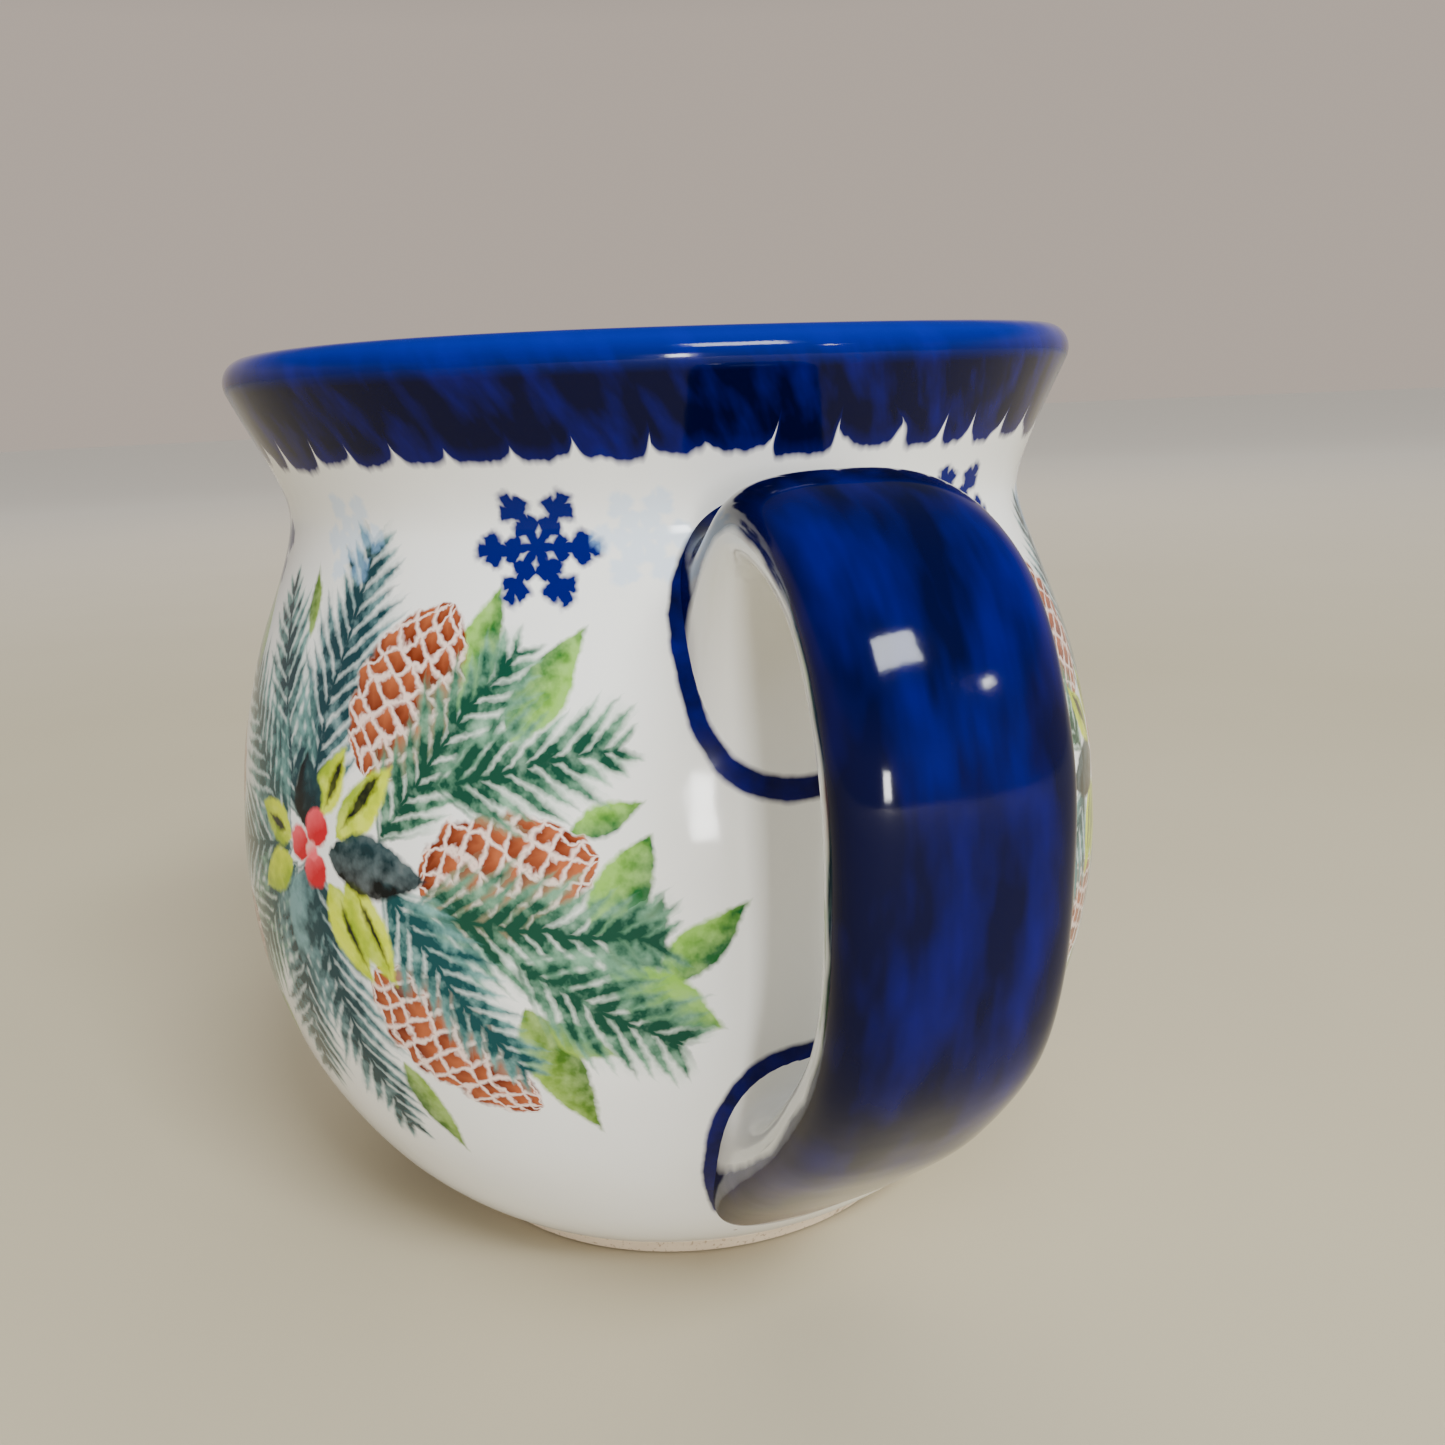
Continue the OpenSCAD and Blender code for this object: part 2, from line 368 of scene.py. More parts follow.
class Graph:
    """Short ways to add nodes to a tree and wire them up."""

    def __init__(self, tree):
        self.tree = tree

    def add(self, kind, **settings):
        node = self.tree.nodes.new(kind)
        for key, value in settings.items():
            setattr(node, key, value)
        return node

    def feed(self, socket, value):
        if isinstance(value, Wire):
            self.tree.links.new(value.socket, socket)
        else:
            socket.default_value = value

    def math(self, operation, *values):
        node = self.add("ShaderNodeMath", operation=operation)
        for socket, value in zip(node.inputs, values):
            self.feed(socket, value)
        return Wire(self, node.outputs[0])

    def vector(self, operation, a, b):
        node = self.add("ShaderNodeVectorMath", operation=operation)
        self.feed(node.inputs[0], a)
        self.feed(node.inputs["Scale"] if operation == "SCALE" else node.inputs[1], b)
        return Wire(self, node.outputs["Value" if operation in ("DISTANCE", "DOT_PRODUCT") else "Vector"])

    def join(self, x, y, z=0.0):
        node = self.add("ShaderNodeCombineXYZ")
        for socket, value in zip(node.inputs, (x, y, z)):
            self.feed(socket, value)
        return Wire(self, node.outputs[0])

    def split(self, vector):
        node = self.add("ShaderNodeSeparateXYZ")
        self.feed(node.inputs[0], vector)
        return [Wire(self, socket) for socket in node.outputs]

    def noise(self, vector, scale, detail=2.0, colour=False):
        node = self.add("ShaderNodeTexNoise")
        self.feed(node.inputs["Vector"], vector)
        node.inputs["Scale"].default_value = scale
        node.inputs["Detail"].default_value = detail
        return Wire(self, node.outputs[1 if colour else 0])

    def chance(self, value):
        """A repeatable number from 0 to 1 that jumps about as the value grows."""
        return self.math("FRACT", (value*12.9898).sin()*4375.85)

    def mix(self, share, a, b):
        """Colour a where share is 0 and b where it is 1. Sockets 6 and 7 are a Mix node's two colours."""
        node = self.add("ShaderNodeMix", data_type="RGBA")
        for index, value in ((0, share), (6, a), (7, b)):
            self.feed(node.inputs[index], value)
        return Wire(self, node.outputs[2])

    def attribute(self, name):
        return Wire(self, self.add("ShaderNodeAttribute", attribute_name=name).outputs["Fac"])

    def place_mm(self):
        """The point on the mug in millimetres."""
        coordinates = self.add("ShaderNodeTexCoord")
        return self.vector("SCALE", Wire(self, coordinates.outputs["Object"]), 1/MM)

    def use(self, group, *values):
        """An instance of a node group; values go to its inputs in order."""
        node = self.add("ShaderNodeGroup", node_tree=group)
        for socket, value in zip(node.inputs, values):
            self.feed(socket, value)
        return Wire(self, node.outputs[0])


SOCKETS = {"colour": "NodeSocketColor", "vector": "NodeSocketVector", "number": "NodeSocketFloat"}


def stroke_group(name, inputs, draw):
    """A node group that paints one kind of stroke over the colour under it."""
    tree = bpy.data.node_groups.new(name, "ShaderNodeTree")
    for label, kind in inputs:
        tree.interface.new_socket(label, in_out="INPUT", socket_type=SOCKETS[kind])
    tree.interface.new_socket("Colour", in_out="OUTPUT", socket_type="NodeSocketColor")
    graph = Graph(tree)
    entry, leave = graph.add("NodeGroupInput"), graph.add("NodeGroupOutput")
    result = draw(graph, *[Wire(graph, socket) for socket in entry.outputs[:len(inputs)]])
    graph.feed(leave.inputs[0], result)
    return tree


def along_stroke(g, point, base, way, left):
    """The point as a length along the stroke and a distance to its left."""
    offset = g.vector("SUBTRACT", point, base)
    return g.vector("DOT_PRODUCT", offset, way), g.vector("DOT_PRODUCT", offset, left)


# Every stroke gets the colour under it, the point in millimetres and the paint's own cloudiness there. The
# cloudiness is one noise for all strokes: Cycles runs out of shader stack if each stroke makes its own.
SURFACE = [("Under", "colour"), ("Point", "vector"), ("Blot", "number")]
STROKE = SURFACE + [("Base", "vector"), ("Way", "vector"), ("Left", "vector"), ("Luck", "number"),
                    ("Length", "number"), ("Width", "number")]
TWO_PAINTS = [("Light", "colour"), ("Dark", "colour")]


def draw_leaf(g, under, point, blot, base, way, left, luck, length, width, light, dark):
    """A pointed leaf, darker to its left."""
    u, v = along_stroke(g, point, base, way, left)
    t = (u/length).clamp()
    half = (t**0.75*math.pi).sin()*width*0.5
    share = (v/width*1.6 + blot*2.4 - 0.75).clamp()
    colour = g.mix(share, light, dark)
    return g.mix((half - abs(v)).above(0.3, 0.56)*(0.82 + blot*0.3), under, colour)


NEEDLE_PITCH = 2.25   # from one needle to the next along a sprig
NEEDLE_SLANT = 1.1    # how far a needle runs along the sprig for each millimetre sideways


def draw_sprig(g, under, point, blot, base, way, left, luck, length, width, light, dark):
    """A fir sprig: slanting needles either side of a stem, with the glaze showing white between them."""
    u, v = along_stroke(g, point, base, way, left)
    off = abs(v)
    start = u - off*NEEDLE_SLANT
    count = start/NEEDLE_PITCH
    cell = count.floor()
    gap = abs(count - cell - 0.5)
    uneven = g.chance(cell + g.math("SIGN", v)*40.0 + luck)
    t = (start/length).clamp()
    reach = width*0.5*(1.0 - t**2.6*0.68)*(0.80 + uneven*0.40)
    out = off/reach
    needle = ((1.0 - out**2.4)*0.44 - gap).above(0.0, 0.34)
    stem = off.below(0.40, 0.5)*u.above(0.0, 0.5)*u.below(length, 0.5)
    ends = start.above(-0.6, 0.6)*start.below(length, 0.9)
    wash = g.mix(out.below(0.8, 0.5)*ends*(blot*1.6 - 0.35).clamp(), under, light)
    tone = g.mix((1.10 - out*0.8 + (blot - 0.5)*2.8).clamp(), light, dark)
    return g.mix(g.math("MAXIMUM", needle*ends, stem)*(0.80 + blot*0.4).clamp(), wash, tone)


def draw_cone(g, under, point, blot, base, way, left, luck, length, width, line, light, dark):
    """A pine cone: an egg of drop-shaped scales parted by pale lines, each scale darkest at its root."""
    u, v = along_stroke(g, point, base, way, left)
    v = v + (blot - 0.5)*1.8
    t = (u/length).clamp()
    lumps = 0.96 + abs((u*0.95).sin())*0.09
    half = ((t**0.85*math.pi).sin() + 0.0001)**0.6*lumps*width*0.5
    round_ = g.math("ARCSINE", g.math("MAXIMUM", g.math("MINIMUM", v/half*0.92, 1.0), -1.0))
    rows = u + (blot - 0.5)*2.2
    one, two = rows*0.26 + round_*1.7, rows*0.46 - round_*1.2
    cell_one, cell_two = one.floor(), two.floor()
    one, two = one - cell_one, two - cell_two
    edge = g.math("MAXIMUM", abs(one - 0.5), abs(two - 0.5))
    root = g.math("MINIMUM", one, two)
    uneven = g.chance(cell_one + cell_two*7.0 + luck)
    scale = g.mix((blot*1.7 - 0.10 + uneven*0.6 - root*1.2).clamp(), light, dark)
    colour = g.mix(edge.below(0.345 + root*0.14, 0.16), line, scale)
    return g.mix((half - abs(v)).above(0.3, 0.6)*u.above(0.1, 0.3)*u.below(length, 0.3), under, colour)


def draw_dot(g, under, point, blot, base, radius, light, dark):
    """A round dab, paler on one side."""
    far = g.vector("DISTANCE", point, base)
    slope = g.vector("DOT_PRODUCT", g.vector("SUBTRACT", point, base), (0.5, -0.6, 0.0))
    shade = (slope/radius*0.8 + 0.5 + blot*0.6).clamp()
    return g.mix(far.below(radius, 0.4), under, g.mix(shade, light, dark))


SIXTH = math.pi/3     # a sixth of a turn
TWIGS = ((0.32, 0.22), (0.62, 0.27))    # root along the arm, and length, of a snowflake's twigs


def draw_snowflake(g, under, point, blot, radius, colour, strength):
    """A stamped snowflake: six arms, each with two pairs of side twigs."""
    x, y = g.vector("DOT_PRODUCT", point, (1.0, 0.0, 0.0)), g.vector("DOT_PRODUCT", point, (0.0, 1.0, 0.0))
    angle = g.math("ARCTAN2", y, x)/SIXTH
    far = (x*x + y*y)**0.5
    turn = (angle - (angle + 0.5).floor())*SIXTH
    u, v = far*g.math("COSINE", turn), abs(far*turn.sin())
    u, v = u/radius, v/radius
    arm = v.below(0.10 + u*0.03, 0.10)*u.below(0.97, 0.10)
    twigs = []
    for root, reach in TWIGS:
        on = (u - root)*math.cos(SIXTH) + v*math.sin(SIXTH)
        off = abs((u - root)*math.sin(SIXTH) - v*math.cos(SIXTH))
        twigs.append(off.below(0.14, 0.10)*on.below(reach, 0.08)*on.above(-0.05, 0.08))
    mask = g.math("MAXIMUM", arm, g.math("MAXIMUM", *twigs))
    ink = 0.90 + blot*0.3
    return g.mix(mask*ink.clamp()*strength, under, colour)


DAB_PITCH = 5.8       # width of the brush strokes round the rim
COBALT_DARK = srgb(1, 3, 38)
COBALT_MID = srgb(9, 6, 94)
COBALT_LIP = srgb(1, 26, 128)
RIM_OUTER = 12.5      # reach of the cobalt below the lip's top, outside
RIM_INNER = 8.6       # and inside
BAND_R = 43.0         # the band's mean radius


def draw_rim(g, under, place, run):
    """The cobalt band over the lip: upright strokes whose round ends make its edges scalloped."""
    x, y, _ = g.split(place)
    angle = g.math("ARCTAN2", y, x)
    around = angle*BAND_R
    wobble = g.noise(g.join(around*0.11, run*0.05), 1.0)*2.2
    count = around/DAB_PITCH + wobble
    cell = count.floor()
    across = count - cell - 0.5
    luck = g.chance(cell)
    notch = (abs(across)*2.0)**5.0*(0.7 + luck*2.3) + across*across*1.4
    fringe = g.noise(g.join(around*1.1, run*0.25), 1.0, 1.0)*0.9
    down = LIP_RUN - run
    outer_edge = RIM_OUTER - notch - fringe + luck*0.7
    inner_edge = (notch*0.4 + fringe)*-1.0 - RIM_INNER
    mask = down.below(outer_edge, 0.8)*down.above(inner_edge, 0.6)
    streak = g.noise(g.join(around*0.30 + run*0.12, run*0.11), 1.0, 3.0)
    deep = (outer_edge - down).above(0.9, 1.8)
    dark = (streak*3.6 - 1.05 + abs(across)*0.5).clamp()*(0.35 + deep*0.65)
    tone = g.mix(dark, COBALT_MID, COBALT_DARK)
    tone = g.mix(abs(down).below(2.6, 3.2)*0.8, tone, COBALT_LIP)
    return g.mix(mask, under, tone)


LEAF = stroke_group("painted leaf", STROKE + TWO_PAINTS, draw_leaf)
SPRIG = stroke_group("painted fir sprig", STROKE + TWO_PAINTS, draw_sprig)
CONE = stroke_group("painted pine cone", STROKE + [("Line", "colour")] + TWO_PAINTS, draw_cone)
DOT = stroke_group("painted dab", SURFACE + [("Base", "vector"), ("Radius", "number")] + TWO_PAINTS,
                   draw_dot)
SNOW = stroke_group("stamped snowflake", SURFACE + [("Radius", "number"), ("Colour", "colour"),
                                                    ("Strength", "number")], draw_snowflake)
RIM = stroke_group("rim strokes", [("Under", "colour"), ("Place", "vector"), ("Run", "number")], draw_rim)

# ---------------------------------------------------------------- the wreath, in mm from its berries

TEAL, TEAL_LIGHT = srgb(14, 60, 62), srgb(112, 158, 150)
FIR, FIR_LIGHT = srgb(14, 60, 44), srgb(112, 156, 126)
MOSS, LIME = srgb(20, 80, 36), srgb(122, 170, 62)
OLIVE, OLIVE_LIGHT = srgb(58, 92, 26), srgb(128, 158, 66)
YELLOW, YELLOW_DARK = srgb(196, 208, 26), srgb(138, 160, 22)
INK, SLATE, SLATE_LIGHT = srgb(8, 12, 14), srgb(16, 50, 56), srgb(106, 142, 142)
RUST, RUST_LIGHT, CONE_LINE = srgb(98, 36, 18), srgb(158, 84, 50), srgb(220, 194, 182)
RED, PINK = srgb(176, 10, 30), srgb(226, 88, 98)

# base, tip, full spread, light, dark
SPRIGS_UNDER = [
    ((-0.2, 3), (3.5, 30), 12, SLATE_LIGHT, SLATE), ((-2, 3), (-12, 25), 11, TEAL_LIGHT, SLATE),
    ((-4, 1), (-25, 19), 12, TEAL_LIGHT, TEAL), ((-4, -0.6), (-34, -6), 12, TEAL_LIGHT, TEAL),
    ((-3, -2.4), (-24, -24), 12, FIR_LIGHT, TEAL), ((-1, -2), (-6, -27), 12, SLATE_LIGHT, SLATE),
    ((0, -2), (7, -30), 11, SLATE_LIGHT, SLATE)]
SPRIGS_OVER = [
    ((10.4, 2.4), (22, 20.4), 11, FIR_LIGHT, FIR), ((16.5, 8), (33.2, 11.8), 11, FIR_LIGHT, FIR),
    ((14, -4), (38, -5.5), 12.5, FIR_LIGHT, FIR), ((25, -8), (39, -16), 11.5, FIR_LIGHT, FIR),
    ((11, -2), (24, -19), 10, TEAL_LIGHT, TEAL), ((-26, 8), (-41, 18), 11, FIR_LIGHT, FIR),
    ((-28, -10), (-43, -16), 11, TEAL_LIGHT, TEAL)]
# base, tip, width, light, dark, side of the dark half
LEAVES = [
    ((-4.5, 20), (-6, 28), 2.8, OLIVE_LIGHT, OLIVE, 1), ((16.8, 14), (18.8, 26.6), 6, LIME, MOSS, -1),
    ((23, 12), (27.8, 22.8), 6, LIME, MOSS, 1), ((29.6, 4.2), (36.4, 7), 3.8, LIME, MOSS, -1),
    ((32, -5), (37.2, 4.2), 6, LIME, MOSS, -1), ((34, -10), (38.3, -1), 5.6, MOSS, FIR, -1),
    ((37.5, -9.6), (46.2, -2.4), 5, LIME, MOSS, -1), ((33, -8.5), (43.6, -14.6), 6, LIME, MOSS, -1),
    ((25, -12), (29.8, -26.4), 6.4, OLIVE_LIGHT, OLIVE, 1),
    ((27, -14), (33.4, -16.8), 4, OLIVE_LIGHT, MOSS, 1),
    ((10, -20), (13.4, -32), 4, OLIVE_LIGHT, OLIVE, -1), ((-20, 15), (-23, 27), 5, LIME, MOSS, 1),
    ((-33, 2), (-45, 5), 5, LIME, MOSS, 1), ((-30, -16), (-38, -23), 5, OLIVE_LIGHT, OLIVE, 1),
    ((-14, -20), (-18, -30), 5, LIME, MOSS, -1)]
# base, tip, width
CONES = [
    ((7.8, 7.9), (14.3, 24.6), 12.6), ((14.6, -1.6), (32.4, 2), 12.2),
    ((8.6, -10.6), (24.4, -23.4), 11.4), ((-20, 2.6), (-36, 6), 11), ((-17, -11), (-30, -21.5), 11)]
# base, tip, width, light, dark, side of the dark half
HEART = [
    ((4.2, 1.4), (11.4, 9.6), 5.2, YELLOW, YELLOW_DARK, 1),
    ((1.2, 3.2), (4.8, 10.8), 4.4, YELLOW, YELLOW_DARK, 1),
    ((3, -3), (8.6, -12.4), 5.4, YELLOW, YELLOW_DARK, 1),
    ((5.4, -2.2), (12, -12.2), 5.6, YELLOW, YELLOW_DARK, -1),
    ((-3.6, 0.2), (-11.4, 2.8), 5, YELLOW, YELLOW_DARK, 1),
    ((-3.6, -1.8), (-11, -6.4), 5, YELLOW, YELLOW_DARK, 1), ((3, -0.2), (16.2, -1), 6.6, SLATE, INK, -1),
    ((-0.6, -2.4), (-3.8, -13.6), 6.4, SLATE_LIGHT, SLATE, 1),
    ((0, 1.6), (-1.6, 9.4), 5.4, SLATE, INK, 1)]
# base, tip, width
VEINS = [
    ((10, 8.6), (4.4, 2.2), 2.0), ((4.6, 9.6), (2, 3.6), 1.7), ((4.4, -4.2), (8.4, -11.6), 1.4),
    ((7, -3.2), (11.4, -11.2), 1.4), ((-5, 0.6), (-9.6, 1.8), 1.8)]
# centre, radius
BERRIES = [((-1.9, 0.2), 1.8), ((1.2, 2.1), 1.8), ((0.8, -2.2), 1.9)]
BERRY_LIGHT = ((0.2, -0.2), 1.1)

WREATH_RUN = 57.9     # length up the skin from the foot to the wreaths' middle
SNOW_RUN = 87.4       # and to the middle of the dark snowflakes
PALE_SNOW_RUN = 88.2  # and of the pale ones
SNOW_R, PALE_SNOW_R = 6.1, 4.88
SNOW_BLUE, SNOW_PALE = srgb(3, 11, 88), srgb(140, 184, 226)
PALE_STRENGTH = 0.35
PALE_FROM = 0.28      # the pale snowflakes by the handle stand this many sixths of a turn from its middle

# The wreath is cut into tiles. Each tile's material holds only the strokes that reach it, to render fast.
TILE_X = (-60, -30, -12, 3, 14, 26, 60)
TILE_Y = (-34, 0, 34)
SHAKE = 2.5           # how far beyond its outline a stroke may waver


def tile_list():
    """Every tile as (left, right, bottom, top)."""
    return [(left, right, bottom, top) for bottom, top in zip(TILE_Y, TILE_Y[1:])
            for left, right in zip(TILE_X, TILE_X[1:])]


def pick_tile(points, faces, run):
    """The index of each face's tile, counted from 1, or 0 outside the wreaths."""
    middle = np.array([points[face].mean(axis=0) for face in faces])
    angle = np.arctan2(middle[:, 1], middle[:, 0])/SIXTH
    third = np.floor((angle - 1)/2 + 0.5)
    mirror = np.where(np.abs(third) > 0.5, 1, -1)
    x = (angle - 1 - third*2)*mirror*np.hypot(middle[:, 0], middle[:, 1])*SIXTH
    y = np.array([run[face].mean() for face in faces]) - WREATH_RUN
    column = np.clip(np.searchsorted(TILE_X, x) - 1, 0, len(TILE_X) - 2)
    row = np.searchsorted(TILE_Y, y) - 1
    inside = (row >= 0) & (row < len(TILE_Y) - 1)
    return np.where(inside, 1 + row*(len(TILE_X) - 1) + column, 0).astype(np.int32)


def reaches(tile, base, tip, width):
    """True if a stroke may show in a tile."""
    left, right, bottom, top = tile
    margin = width/2 + SHAKE
    x, y = sorted((base[0], tip[0])), sorted((base[1], tip[1]))
    return x[0] - margin < right and x[1] + margin > left and y[0] - margin < top and y[1] + margin > bottom


def stroke(g, group, surface, base, tip, width, *rest, side=1):
    """One stroke from its base to its tip; a side of -1 swaps its left and right."""
    reach = math.dist(base, tip)
    x, y = (tip[0] - base[0])/reach, (tip[1] - base[1])/reach
    luck = base[0] + 0.37*tip[1]
    way, left = (x, y, 0.0), (-y*side, x*side, 0.0)
    return g.use(group, *surface, (*base, 0.0), way, left, luck, reach, width, *rest)


def paint_wreath(g, under, point, blot, tile):
    """The strokes of a wreath that reach the tile, from the back to the front."""
    strokes = [(SPRIG, *sprig, 1) for sprig in SPRIGS_UNDER] + [(LEAF, *leaf) for leaf in LEAVES]
    strokes += [(CONE, *cone, CONE_LINE, RUST_LIGHT, RUST, 1) for cone in CONES]
    strokes += [(SPRIG, *sprig, 1) for sprig in SPRIGS_OVER] + [(LEAF, *leaf) for leaf in HEART]
    strokes += [(LEAF, *vein, INK, INK, 1) for vein in VEINS]
    colour = under
    for group, base, tip, width, *paints, side in strokes:
        if reaches(tile, base, tip, width):
            colour = stroke(g, group, (colour, point, blot), base, tip, width, *paints, side=side)
    for centre, radius in BERRIES:
        if reaches(tile, centre, centre, 2*radius):
            colour = g.use(DOT, colour, point, blot, (*centre, 0.0), radius, PINK, RED)
    centre, radius = BERRY_LIGHT
    if reaches(tile, centre, centre, 2*radius):
        colour = g.use(DOT, colour, point, blot, (*centre, 0.0), radius, CONE_LINE, PINK)
    return colour


LINE_W = 1.9          # width of the line round a root of the handle
LINE_FADE = 9.0       # over this height a line thins out at each end
UPPER_LINE = (UPPER_Z - 0.8, UPPER_H + 0.8, 40.0, 79.0)   # middle, half height, lower end and upper end
LOWER_LINE = (LOWER_Z, LOWER_H, 16.0, 50.0)


def root_line(g, under, place, middle, half, lower_end, upper_end):
    """The brushed cobalt line round a root of the handle."""
    x, y, z = g.split(place)
    oval = ((abs(y)/ROOT_W)**STRAP_N + (abs(z - middle)/half)**STRAP_N)**(1/STRAP_N)
    blot = g.noise(place, 0.3, 3.0)
    off = (oval - 1.0)*(ROOT_W + half)/2 + (blot - 0.5)*0.8
    fade = z.above(lower_end, LINE_FADE)*z.below(upper_end, LINE_FADE)
    line = off.above(-0.4, 0.5)*off.below(LINE_W*fade - 0.3, 0.5)*x.above(0.0, 1.0)*fade.above(0.15, 0.2)
    return g.mix(line, under, g.mix((blot*2.4 - 0.7).clamp(), COBALT_MID, COBALT_DARK))


GLAZE_COOL, GLAZE_WARM, SPECK = srgb(231, 232, 230), srgb(222, 219, 210), srgb(96, 76, 58)


def glaze_white(g, place):
    """Pale glaze with faint clouds and a few iron specks."""
    cloud = g.noise(place, 0.035, 3.0)
    white = g.mix(cloud, GLAZE_COOL, GLAZE_WARM)
    speck = g.add("ShaderNodeTexVoronoi", feature="F1")
    g.feed(speck.inputs["Vector"], place)
    speck.inputs["Scale"].default_value = 0.16
    near = Wire(g, speck.outputs["Distance"]).below(0.035, 0.02)
    pick = g.split(Wire(g, speck.outputs["Color"]))[0].above(0.72, 0.02)
    return g.mix(near*pick*0.7, white, SPECK)


RIPPLE = 0.25         # depth of the glaze's ripple, in millimetres


def glaze_shader(g, colour, roughness, place):
    """A glossy fired glaze with the slight ripple that bends its reflections."""
    ripple = g.noise(place, 0.12, 2.0) + g.noise(place, 1.1, 2.0)*0.05
    bump = g.add("ShaderNodeBump")
    bump.inputs["Strength"].default_value = 0.35
    bump.inputs["Distance"].default_value = RIPPLE*MM
    g.feed(bump.inputs["Height"], ripple)
    shader = g.add("ShaderNodeBsdfPrincipled")
    g.feed(shader.inputs["Base Color"], colour)
    g.feed(shader.inputs["Normal"], Wire(g, bump.outputs[0]))
    g.feed(shader.inputs["Roughness"], roughness)
    shader.inputs["IOR"].default_value = 1.5
    shader.inputs["Specular IOR Level"].default_value = 0.17
    return shader


def material(name, draw):
    """A material whose shader is made by draw."""
    made = bpy.data.materials.new(name)
    made.use_nodes = True
    made.node_tree.nodes.clear()
    graph = Graph(made.node_tree)
    shader = draw(graph)
    leave = graph.add("ShaderNodeOutputMaterial")
    graph.tree.links.new(shader.outputs[0], leave.inputs["Surface"])
    return made


def shift(g, place, scale, detail, reach):
    """A small push to all sides, which makes a stroke's outline uneven."""
    push = g.vector("SUBTRACT", g.noise(place, scale, detail, colour=True), (0.5, 0.5, 0.5))
    return g.vector("SCALE", push, reach)


def bowl_glaze(g, painted, tile=None):
    """Glaze over the bowl.

    painted adds the snowflakes and lines of the outside, and a tile adds its strokes of the wreath."""
    place = g.place_mm()
    run = g.attribute("run")
    colour = glaze_white(g, place)
    shake = g.vector("ADD", shift(g, place, 0.22, 2.0, 1.3), shift(g, place, 1.5, 1.0, 0.5))
    blot = g.noise(place, 0.5, 3.0)
    if painted:
        # The wreaths' middles are at -1, 1 and 3 sixths of a turn, and the one at 1 is mirrored
        x, y, _ = g.split(place)
        radius = (x*x + y*y)**0.5
        angle = g.math("ARCTAN2", y, x)/SIXTH
        third = ((angle - 1.0)/2.0 + 0.5).floor()
        local = angle - 1.0 - third*2.0
        mirror = g.math("SIGN", abs(third) - 0.5)
        to_mm = radius*SIXTH
        point = g.vector("ADD", g.join(local*to_mm*mirror, run - WREATH_RUN), shake)
        if tile:
            colour = paint_wreath(g, colour, point, blot, tile)
        # The dark snowflakes stand halfway between sixths of a turn and reach only into the upper tiles
        dark_at = angle - angle.floor() - 0.5
        if tile is None or tile[3] == TILE_Y[-1]:
            point = g.vector("ADD", g.join(dark_at*to_mm, run - SNOW_RUN), shake)
            colour = g.use(SNOW, colour, point, blot, SNOW_R, SNOW_BLUE, 1.0)
        # The pale ones stand at the sixths, and on both sides of the handle
        side = abs(angle)
        pale_at = side - g.math("MAXIMUM", (side + 0.5).floor(), PALE_FROM)
        point = g.vector("ADD", g.join(pale_at*to_mm, run - PALE_SNOW_RUN), shake)
        colour = g.use(SNOW, colour, point, blot, PALE_SNOW_R, SNOW_PALE, PALE_STRENGTH)
        # The lines round the handle's roots reach only into the tiles nearest to the handle
        if tile is None or tile[1] == TILE_X[-1]:
            colour = root_line(g, colour, place, *UPPER_LINE)
            colour = root_line(g, colour, place, *LOWER_LINE)
    if tile is None:
        colour = g.use(RIM, colour, place, run)
    roughness = 0.07 + g.noise(place, 0.08, 2.0)*0.07
    return glaze_shader(g, colour, roughness, place)


def handle_glaze(g):
    """Cobalt on the handle's outer face, brushed lengthwise, and clear glaze inside the loop."""
    place = g.place_mm()
    along, across, height = (g.attribute(name) for name in ("along", "across", "height"))
    streak = g.noise(g.join(across*0.16, along*0.05), 1.0, 3.0)
    brush = g.noise(g.join(across*0.7, along*0.09), 1.0, 2.0)
    dark = (streak*3.4 - 0.9 + (brush - 0.5)*0.5).clamp()
    cobalt = g.mix(dark, COBALT_MID, COBALT_DARK)
    edge = height + (g.noise(g.join(across*0.2, along*0.12), 1.0, 2.0) - 0.5)*0.4
    colour = g.mix(edge.above(SEAM + 0.08, 0.16), glaze_white(g, place), cobalt)
    roughness = 0.05 + g.noise(place, 0.10, 2.0)*0.06
    return glaze_shader(g, colour, roughness, place)


CLAY_PALE, CLAY_WARM, CLAY_GRIT = srgb(214, 198, 172), srgb(190, 170, 142), srgb(120, 92, 66)


def bare_clay(g):
    """Biscuit stoneware: matt, sandy, with iron specks."""
    place = g.place_mm()
    grain = g.noise(place, 2.2, 6.0)
    cloud = g.noise(place, 0.09, 3.0)
    colour = g.mix(cloud, CLAY_PALE, CLAY_WARM)
    colour = g.mix((grain - 0.62).above(0.0, 0.08)*0.6, colour, CLAY_GRIT)
    bump = g.add("ShaderNodeBump")
    bump.inputs["Strength"].default_value = 0.5
    bump.inputs["Distance"].default_value = 0.12*MM
    g.feed(bump.inputs["Height"], grain)
    shader = g.add("ShaderNodeBsdfPrincipled")
    g.feed(shader.inputs["Base Color"], colour)
    g.feed(shader.inputs["Roughness"], 0.72 + cloud*0.2)
    g.feed(shader.inputs["Normal"], Wire(g, bump.outputs[0]))
    return shader


painted_glaze = [material("outer_glaze", lambda g: bowl_glaze(g, True))]
painted_glaze += [material(f"wreath_{i}", lambda g, tile=tile: bowl_glaze(g, True, tile))
                  for i, tile in enumerate(tile_list(), 1)]
plain_glaze = material("plain_glaze", lambda g: bowl_glaze(g, False))
strap_glaze = material("strap_glaze", handle_glaze)
clay = material("bare_clay", bare_clay)

# ---------------------------------------------------------------- the pieces

